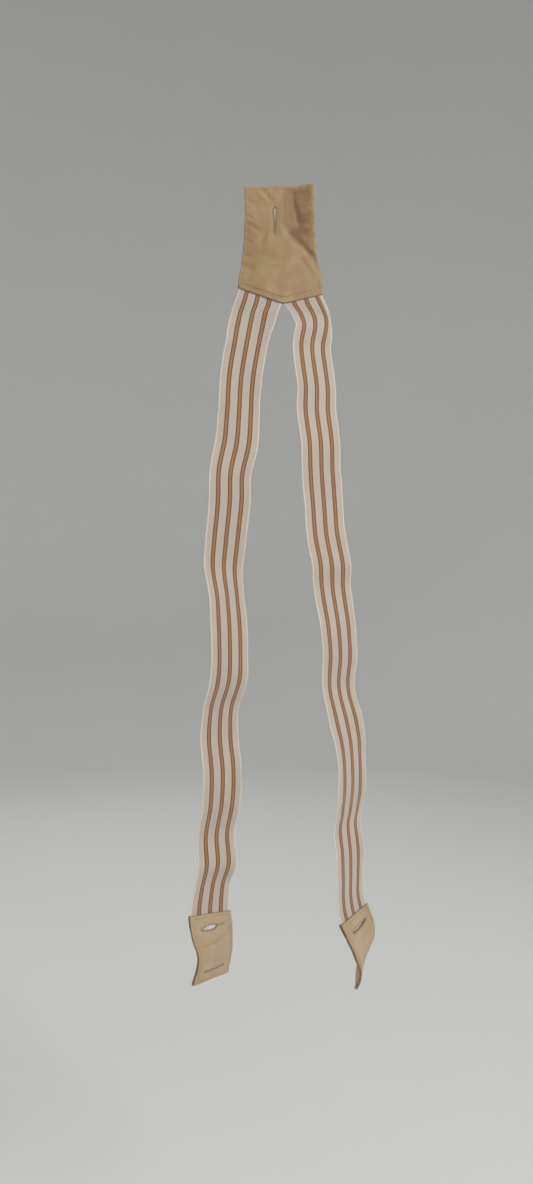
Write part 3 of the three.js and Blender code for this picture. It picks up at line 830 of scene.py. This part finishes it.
def add_yoke():
    to_q = lambda z: (edge_top(0.0) - z) / (edge_top(0.0) - edge_bottom(0.0)) * YOKE_RUN
    q_start, q_end = to_q(0.0), to_q(-YOKE_SLIT_LENGTH)
    width = top_right[0] - top_left[0]
    near_slit = [slit_share * width + d * MM for d in (-2, -1, -0.5, 0, 0.5, 1, 2)]
    rows = with_edges(0, width, near_slit + [tip_share * width], 1.1 * MM) / width
    columns = with_edges(0, YOKE_RUN, [q_start, q_end], 1.1 * MM)
    share, q, side, faces = cut_grid(rows, columns, [(slit_share, q_start, q_end)])
    x, z = yoke_flat(share, q)
    x = np.where(side != 0, 0.0, x)
    rim = yoke_rim(x, z)
    # The edge mark: leather darkened at the outline, partly wear and partly painted shade, and by painted
    # shade at the slit's lips.
    near = np.minimum(rim, slit_distance(x, z) + np.where(side == 0, 0.4 * MM, 0))
    edge = 0.4 * (1 - smoothstep(0.0, 0.8 * MM, near))
    # Painted shade: darkens the leather to the right of the shade border, away from its edges.
    border_x, border_z = np.array(PAINTED_SHADE_BORDER).T * MM
    border = np.interp(z, border_z, border_x)
    shade = 0.9 * smoothstep(-3 * MM, 6 * MM, x - border) * smoothstep(1 * MM, 5 * MM, rim)
    marks = {"edge": edge, "shade": shade}
    inner_lift = 0.5 * MM * smoothstep(3.5 * MM, 7 * MM, rim)
    inner_lift = inner_lift * smoothstep(1.5 * MM, 5 * MM, slit_distance(x, z)) + 0.06 * MM
    inner_lift = np.maximum(inner_lift, web_room(x, z) + 0.06 * MM)
    middle = yoke_point(x, z, side, 0, 0.0)
    for which, face in (("front", 1), ("back", -1)):
        outer = yoke_point(x, z, side, face, 0.0)
        inner = middle - np.array([0, 1, 0]) * (face * inner_lift)[:, None]
        turned = faces if face > 0 else faces[:, ::-1]
        piece = shell(f"yoke_{which}", turned, outer, inner, yoke_leather, (x, z), marks)
        rigid(piece, "yoke", f"yoke_{which}_leather")


def yoke_seam_lines():
    """The topstitching's sides, each a line of (x, z) inside the outline."""
    inner_left, inner_right = left_side + [SEAM_INSET, 0], right_side - [SEAM_INSET, 0]
    across = np.linspace(0, 1, 40)
    width = inner_right[:, 0] - inner_left[:, 0]
    top_x, bottom_x = (inner_left[k, 0] + across * width[k] for k in (0, -1))
    top = np.stack([top_x, edge_top(top_x) - SEAM_INSET], -1)
    bottom = np.stack([bottom_x, edge_bottom(bottom_x) + SEAM_INSET * 1.04], -1)
    left, right = (
        line[(line[:, 1] < line[0, 1] - SEAM_INSET) & (line[:, 1] > line[-1, 1] + SEAM_INSET)]
        for line in (inner_left, inner_right)
    )
    return top, right, bottom, left


def yoke_surface(face):
    def surface(flat, heights):
        x, z = flat[:, 0], flat[:, 1]
        return yoke_point(x, z, np.zeros(len(x)), face, heights)

    return surface


def add_yoke_threads():
    edges = yoke_seam_lines()
    bottom_x = np.linspace(low_left[0] + 5 * MM, low_right[0] - 5 * MM, 60)
    holding = np.stack([bottom_x, edge_bottom(bottom_x) + LOWER_SEAM_RISE], -1)
    for face, which in ((1, "needle"), (-1, "bobbin")):
        surface = yoke_surface(face)
        round_edge = [p for line in edges for p in stitches(line, surface, *YOKE_STITCH)]
        lower = stitches(holding, surface, *YOKE_STITCH)
        for name, paths in (("edge", round_edge), ("lower_seam", lower)):
            piece = tubes(f"yoke_{name}_{which}_stitches", paths, STITCH_RADIUS, seam_thread)
            rigid(piece, "yoke", f"yoke_{name}_{which}_thread")

    place = lambda t, d, side, face, h: yoke_point(d, -t * YOKE_SLIT_LENGTH, side, face, h)
    hole = whipping(place, YOKE_SLIT_LENGTH)
    tack = bar_tack(place, YOKE_TACK_REACH)
    for name, paths, node in (("whipping", hole, "thread"), ("tack", tack, "bartack")):
        piece = tubes(f"yoke_buttonhole_{name}", paths, WHIP_RADIUS, hole_thread, sides=WHIP_SIDES)
        rigid(piece, "yoke", f"yoke_buttonhole_{node}")


def add_yoke_canvas():
    """The stiffening between the plies, kept in from every edge."""
    low_x, high_x = -20 * MM, 28 * MM
    rows = ticks([low_x, high_x], 3 * MM)
    columns = ticks([-62 * MM, -30 * MM], 3 * MM)
    x, z, _, faces = cut_grid(rows, columns, [])
    level = yoke_point(x, z, np.zeros(len(x)), 0, 0.0)
    up = np.array([0, 0.3 * MM, 0])
    piece = shell("yoke_canvas", faces, level - up, level + up, canvas, (x, z))
    rigid(piece, "yoke", "yoke_interlining")


# ---------------------------------------------------------------- tabs
# Each slit: where it is down the tab, how far it gapes at its middle, how that leans to one end,
# the share of its length that stands open, how far its lower lip stands out, how far its two ends
# gape and how much painted shade darkens its lips. The creases are start, end, width and height in
# millimetres.
CLOSED_SLIT = dict(
    at=TAB_LENGTH - TAB_SLIT_INSET, gape=0.06 * MM, lean=1.0, open=1.0, lip=0.0, eyes=0.8 * MM, dark=0.1
)
TABS = {
    "left": {
        "slits": [
            dict(at=TAB_SLIT_INSET, gape=1.9 * MM, lean=1.7, open=0.72, lip=1.6 * MM, eyes=0.0, dark=0.5),
            CLOSED_SLIT,
        ],
        "creases": [
            ((-17, 25), (1, 28), 1.6, -1.0),
            ((-2, 28), (13, 24.5), 1.4, -1.5),
            ((-13, 20.5), (9, 21.5), 4.0, 1.2),
            ((-12, 34), (12, 36), 5.0, 0.6),
            ((-6, 44), (10, 45), 2.6, -0.6),
            ((-10, 51), (11, 53), 3.5, 0.5),
        ],
    },
    "right": {
        "slits": [
            dict(at=TAB_SLIT_INSET, gape=1.1 * MM, lean=0.75, open=1.0, lip=1.3 * MM, eyes=0.0, dark=0.6),
            CLOSED_SLIT,
        ],
        "creases": [
            ((-12, 29), (4, 26), 1.8, -0.8),
            ((2, 27), (16, 20), 1.8, -0.9),
            ((-8, 20), (12, 18), 3.6, 0.8),
            ((-10, 38), (12, 36), 5.0, 0.5),
        ],
    },
}


def slit_gape(slit, t):
    """Half the opening at t, 0 to 1 along the slit."""
    t = np.clip(t, 0, 1)
    opened = np.clip(t / slit["open"], 0, 1)
    open_part = slit["gape"] * np.sin(math.pi * opened ** slit["lean"]).clip(0) ** 0.7
    eyes = np.exp(-(((t - 0.05) / 0.04) ** 2)) + np.exp(-(((t - 0.95) / 0.04) ** 2))
    return open_part + slit["eyes"] * eyes * np.sin(math.pi * t) ** 0.2


class Tab:
    """One doubled leather tab: flat coordinates u across and v down it from its upper edge."""

    def __init__(self, side, route):
        self.side = side
        self.route = route
        self.slits = TABS[side]["slits"]
        self.creases = TABS[side]["creases"]
        self.top = route.mouth + TAB_SET_BACK

    def rim(self, u, v):
        across = TAB_WIDTH / 2 - abs(u)
        return np.clip(np.minimum(across, np.minimum(v, TAB_LENGTH - v)), 0, None)

    def slit_distance(self, u, v):
        past = np.clip(abs(u) - TAB_SLIT_LENGTH / 2, 0, None)
        return np.min([np.hypot(past, v - slit["at"]) for slit in self.slits], axis=0)

    def inside(self, u, v):
        """Half the space between the plies: the webbing's grip at the top, canvas below."""
        grip = 1 - smoothstep(TAB_GRIP + 0.5 * MM, TAB_GRIP + 4 * MM, v)
        return 0.2 * MM + 0.38 * MM * grip

    def folds(self, u, v):
        total = 0.25 * MM * np.sin(u / (5.1 * MM) + v / (9 * MM)) * np.sin(v / (6.5 * MM) + 1)
        for start, end, width, height in self.creases:
            total = total + crease(u, v, start, end, width, height)
        return total * smoothstep(1 * MM, 8 * MM, v)

    def point(self, u, v, side, face, height):
        u, v, side = np.broadcast_arrays(*(np.asarray(a, float) for a in (u, v, side)))
        rim = self.rim(u, v)
        corner = np.sqrt(1 - (1 - np.clip(rim / (0.4 * MM), 0, 1)) ** 2)
        seam = 0.22 * MM * np.exp(-(((rim - SEAM_INSET) / (0.65 * MM)) ** 2))
        lip = 0.2 * MM * np.exp(-((self.slit_distance(u, v) / (1.5 * MM)) ** 2))
        skin = self.inside(u, v) + (TAB_PLY - 0.4 * MM) + 0.4 * MM * corner - seam - lip
        moved, n = v.copy(), self.folds(u, v) + face * (skin + height)
        for slit in self.slits:
            off = v - slit["at"]
            gape = slit_gape(slit, u / TAB_SLIT_LENGTH + 0.5)
            sense = np.where((side != 0) & (abs(off) < 3 * MM), side, np.sign(off))
            moved = moved + sense * gape * np.exp(-abs(off) / (4.5 * MM))
            if slit["gape"] > 0.5 * MM:
                open_share = gape / slit["gape"]
                n = n + (sense > 0) * slit["lip"] * open_share * np.exp(-abs(off) / (4 * MM))
        return self.route.place(u, self.top + moved, n)


def add_tab(side, route):
    tab = Tab(side, route)
    half = TAB_WIDTH / 2
    slit_half = TAB_SLIT_LENGTH / 2
    near = [slit["at"] + d * MM for slit in tab.slits for d in (-2, -1, -0.5, 0, 0.5, 1, 2)]
    rows = with_edges(0, TAB_LENGTH, near, 0.9 * MM)
    ends = [e * slit_half + d * MM for e in (-1, 1) for d in (-1, -0.5, 0, 0.5, 1)]
    columns = with_edges(-half, half, ends, 0.9 * MM)
    cuts = [(slit["at"], -slit_half, slit_half) for slit in tab.slits]
    v, u, cut_side, faces = cut_grid(rows, columns, cuts)
    rim = tab.rim(u, v)
    lip = tab.slit_distance(u, v) + np.where(cut_side == 0, 0.4 * MM, 0)
    # The edge mark: the tab's edges darkened, partly wear and partly painted shade, and the slits' lips
    # by painted shade, most at the gaping upper slit.
    dark = np.where(v < TAB_LENGTH / 2, tab.slits[0]["dark"], tab.slits[1]["dark"])
    edge = np.maximum(1 - smoothstep(0.05 * MM, 0.5 * MM, rim), dark * (1 - smoothstep(0, MM, lip)))
    centre = tab.point(u, v, cut_side, 0, 0.0)
    for which, face in (("front", 1), ("back", -1)):
        outer = tab.point(u, v, cut_side, face, 0.0)
        depth = np.linalg.norm(outer - centre, axis=1)
        share = (tab.inside(u, v) / depth)[:, None]
        inner = centre + (outer - centre) * share
        turned = faces if face > 0 else faces[:, ::-1]
        piece = shell(f"{side}_tab_{which}", turned, outer, inner, tab_leather, (u, v), {"edge": edge})
        rigid(piece, f"{side}_tab", f"{side}_tab_{which}_leather")
    add_tab_canvas(tab)
    add_tab_threads(tab)


def add_tab_canvas(tab):
    reach = TAB_WIDTH / 2 - CANVAS_INSET
    v_low, v_high = tab.slits[0]["at"] + CANVAS_INSET, tab.slits[1]["at"] - CANVAS_INSET
    rows, columns = ticks([v_low, v_high], 2 * MM), ticks([-reach, reach], 2 * MM)
    v, u, side, faces = cut_grid(rows, columns, [])
    centre = tab.point(u, v, side, 0, 0.0)
    outer = tab.point(u, v, side, 1, 0.0)
    step = (outer - centre) / np.linalg.norm(outer - centre, axis=1)[:, None] * 0.12 * MM
    piece = shell(f"{tab.side}_tab_canvas", faces, centre + step, centre - step, canvas, (u, v))
    rigid(piece, f"{tab.side}_tab", f"{tab.side}_tab_interlining")


def add_tab_threads(tab):
    inset_u, low, high = TAB_WIDTH / 2 - SEAM_INSET, SEAM_INSET, TAB_LENGTH - SEAM_INSET
    corners = [(-inset_u, low), (inset_u, low), (inset_u, high), (-inset_u, high)]
    lines = [np.linspace(a, b, 30) for a, b in zip(corners, corners[1:] + corners[:1])]
    body = f"{tab.side}_tab"
    for face, which in ((1, "needle"), (-1, "bobbin")):
        surface = lambda flat, h, face=face: tab.point(flat[:, 0], flat[:, 1], 0, face, h)
        paths = [p for line in lines for p in stitches(line, surface, *TAB_STITCH)]
        piece = tubes(f"{body}_{which}_stitches", paths, STITCH_RADIUS, seam_thread)
        rigid(piece, body, f"{body}_edge_{which}_thread")
    for which, slit in zip(("upper", "lower"), tab.slits):
        flat = lambda t, d, side, face, h, slit=slit: tab.point(
            (t - 0.5) * TAB_SLIT_LENGTH, slit["at"] + d, side, face, h
        )
        for name, paths, node in (
            ("whipping", whipping(flat, TAB_SLIT_LENGTH), "thread"),
            ("tack", bar_tack(flat, TAB_TACK_REACH), "bartack"),
        ):
            name = f"{body}_{which}_{name}"
            piece = tubes(name, paths, WHIP_RADIUS, tab_hole_thread, sides=WHIP_SIDES)
            rigid(piece, body, f"{body}_{which}_buttonhole_{node}")


add_yoke()
add_yoke_threads()
add_yoke_canvas()

routes = {
    "left": Route(LEFT_ROUTE, bend_at=7, mouth_at=19),
    "right": Route(RIGHT_ROUTE, bend_at=10, mouth_at=24),
}
for phase, (side, route) in enumerate(routes.items()):
    add_webbing(side, route, 1.7 * phase)
    add_tab(side, route)

# ---------------------------------------------------------------- camera, floor and lights
VIEW_HEIGHT = 1.083  # how much of the plane through the object the picture's height shows
VIEW_DISTANCE = 0.77
VIEW_CENTRE = (-0.0078, -0.3523)

camera_data = bpy.data.cameras.new("camera")
camera_data.sensor_width = 36
camera_data.lens = 36 * VIEW_DISTANCE / VIEW_HEIGHT
camera = bpy.data.objects.new("camera", camera_data)
camera.location = (VIEW_CENTRE[0], -VIEW_DISTANCE, VIEW_CENTRE[1])
camera.rotation_euler = (math.pi / 2, 0, 0)
bpy.context.scene.collection.objects.link(camera)
bpy.context.scene.camera = camera

FLOOR_Z = -1.05
LIGHT_TARGET = (0.0, 0.0, -0.35)


def add_studio():
    """A round pale floor that curves up into a wall all the way round."""
    radius, bend, top = 3.6, 1.0, 5.0
    profile = [(0.0, FLOOR_Z), (1.2, FLOOR_Z), (radius - bend, FLOOR_Z)]
    for i in range(1, 13):
        a = i / 12 * math.pi / 2
        profile.append((radius - bend + bend * math.sin(a), FLOOR_Z + bend - bend * math.cos(a)))
    profile.append((radius, top))
    around = 96
    vertices, faces = [], []
    for r, z in profile:
        for j in range(around):
            a = 2 * math.pi * j / around
            vertices.append((r * math.cos(a), r * math.sin(a), z))
    for k in range(len(profile) - 1):
        for j in range(around):
            a, b = k * around + j, k * around + (j + 1) % around
            faces.append((a, b, b + around, a + around))
    mesh = bpy.data.meshes.new("studio")
    mesh.from_pydata(vertices, [], faces)
    mesh.polygons.foreach_set("use_smooth", [True] * len(mesh.polygons))
    look = Look("studio", 0.9, 0.1)
    tone = look.mix(look.noise(2.0), (0.74, 0.74, 0.72), (0.77, 0.77, 0.75))
    mesh.materials.append(look.finish(tone))
    studio = bpy.data.objects.new("studio", mesh)
    bpy.context.scene.collection.objects.link(studio)


def add_light(name, place, size, power, colour):
    """A round soft light that faces the middle of the object."""
    data = bpy.data.lights.new(name, "AREA")
    data.shape = "DISK"
    data.size = size
    data.energy = power
    data.color = colour
    light = bpy.data.objects.new(name, data)
    light.location = place
    light.rotation_mode = "QUATERNION"
    light.rotation_quaternion = (Vector(LIGHT_TARGET) - Vector(place)).to_track_quat("-Z", "Y")
    bpy.context.scene.collection.objects.link(light)


add_studio()
add_light("key", (1.5, -1.3, 0.75), 0.8, 36, (1.0, 0.985, 0.96))
add_light("fill", (-1.8, -1.6, 0.2), 1.6, 12, (0.96, 0.98, 1.0))
add_light("back", (-0.6, 1.8, 1.2), 1.4, 16, (1.0, 1.0, 1.0))

world = bpy.data.worlds.new("world")
world.use_nodes = True
sky = world.node_tree.nodes["Background"].inputs
sky["Color"].default_value = (0.9, 0.93, 1.0, 1)
sky["Strength"].default_value = 0.35
bpy.context.scene.world = world
bpy.context.scene.view_settings.view_transform = "Standard"
